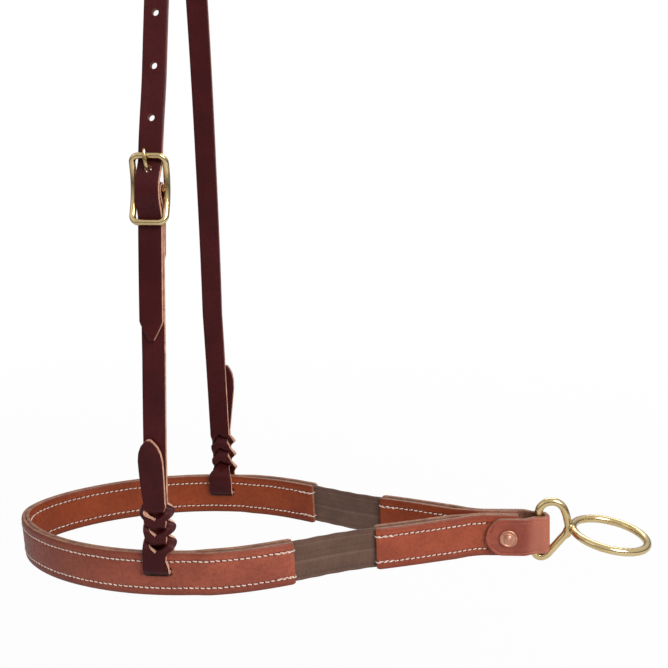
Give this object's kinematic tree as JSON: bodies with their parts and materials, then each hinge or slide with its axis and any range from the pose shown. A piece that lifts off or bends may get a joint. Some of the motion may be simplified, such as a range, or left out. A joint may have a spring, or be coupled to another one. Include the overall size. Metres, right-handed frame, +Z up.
{
  "type": "bridle noseband",
  "caption": "Western tie-down noseband: doubled leather nose strap with elastic inserts, riveted chin tab with cast loop and ring, and a buckled head hanger tied on with bloodknots.",
  "frame": {"origin": "underside of the crown, at the middle of its width, where it rests on the poll or on a peg", "axes": "+Z up, +X towards the chin ring, +Y towards the horse's off (right) side, so the buckle is at -Y"},
  "size_m": [0.3835, 0.1339, 0.4609],
  "materials": {
    "band_leather": "smooth russet bridle leather, waxed, with tan cut edges",
    "hanger_leather": "dark burgundy latigo leather, waxed, with tan cut edges",
    "elastic": "woven brown-grey elastic webbing",
    "brass": "polished cast brass",
    "copper": "dull copper rivet and burr"
  },
  "bodies": {
    "hanger": {"crown_strap": "hanger_leather", "near_cheek_strap": "hanger_leather", "buckle_frame": "brass"},
    "tongue": {"buckle_tongue": "brass"},
    "nose": {"nose_strap_outer": "band_leather", "nose_strap_liner": "band_leather", "near_elastic": "elastic", "off_elastic": "elastic"},
    "chin": {"near_chin_strap_outer": "band_leather", "near_chin_strap_liner": "band_leather", "off_chin_strap_outer": "band_leather", "off_chin_strap_liner": "band_leather", "chin_tab": "band_leather", "rivet": "copper", "rivet_burr": "copper"},
    "loop": {"loop_ring": "brass"}
  },
  "joints": [
    {"name": "noseband_swing", "type": "hinge", "parent": "hanger", "child": "nose", "pos_m": [-0.0042, 0, -0.4377], "axis": [0, 1, 0], "range_deg": [-3, 3]},
    {"name": "elastic_stretch", "type": "slide", "parent": "nose", "child": "chin", "axis": [0.9987, 0, 0.0506], "range_m": [0, 0.025], "stiffness_N_per_m": 1500, "deforming": ["near_elastic", "off_elastic"]},
    {"name": "ring_swing", "type": "hinge", "parent": "chin", "child": "loop", "pos_m": [0.2053, 0, -0.42649], "axis": [0.1132, 0, 0.9936], "range_deg": [-80, 80]},
    {"name": "tongue_lift", "type": "hinge", "parent": "hanger", "child": "tongue", "pos_m": [-0.00405, -0.05347, -0.22689], "axis": [1, 0, 0], "range_deg": [0, 3]}
  ]
}
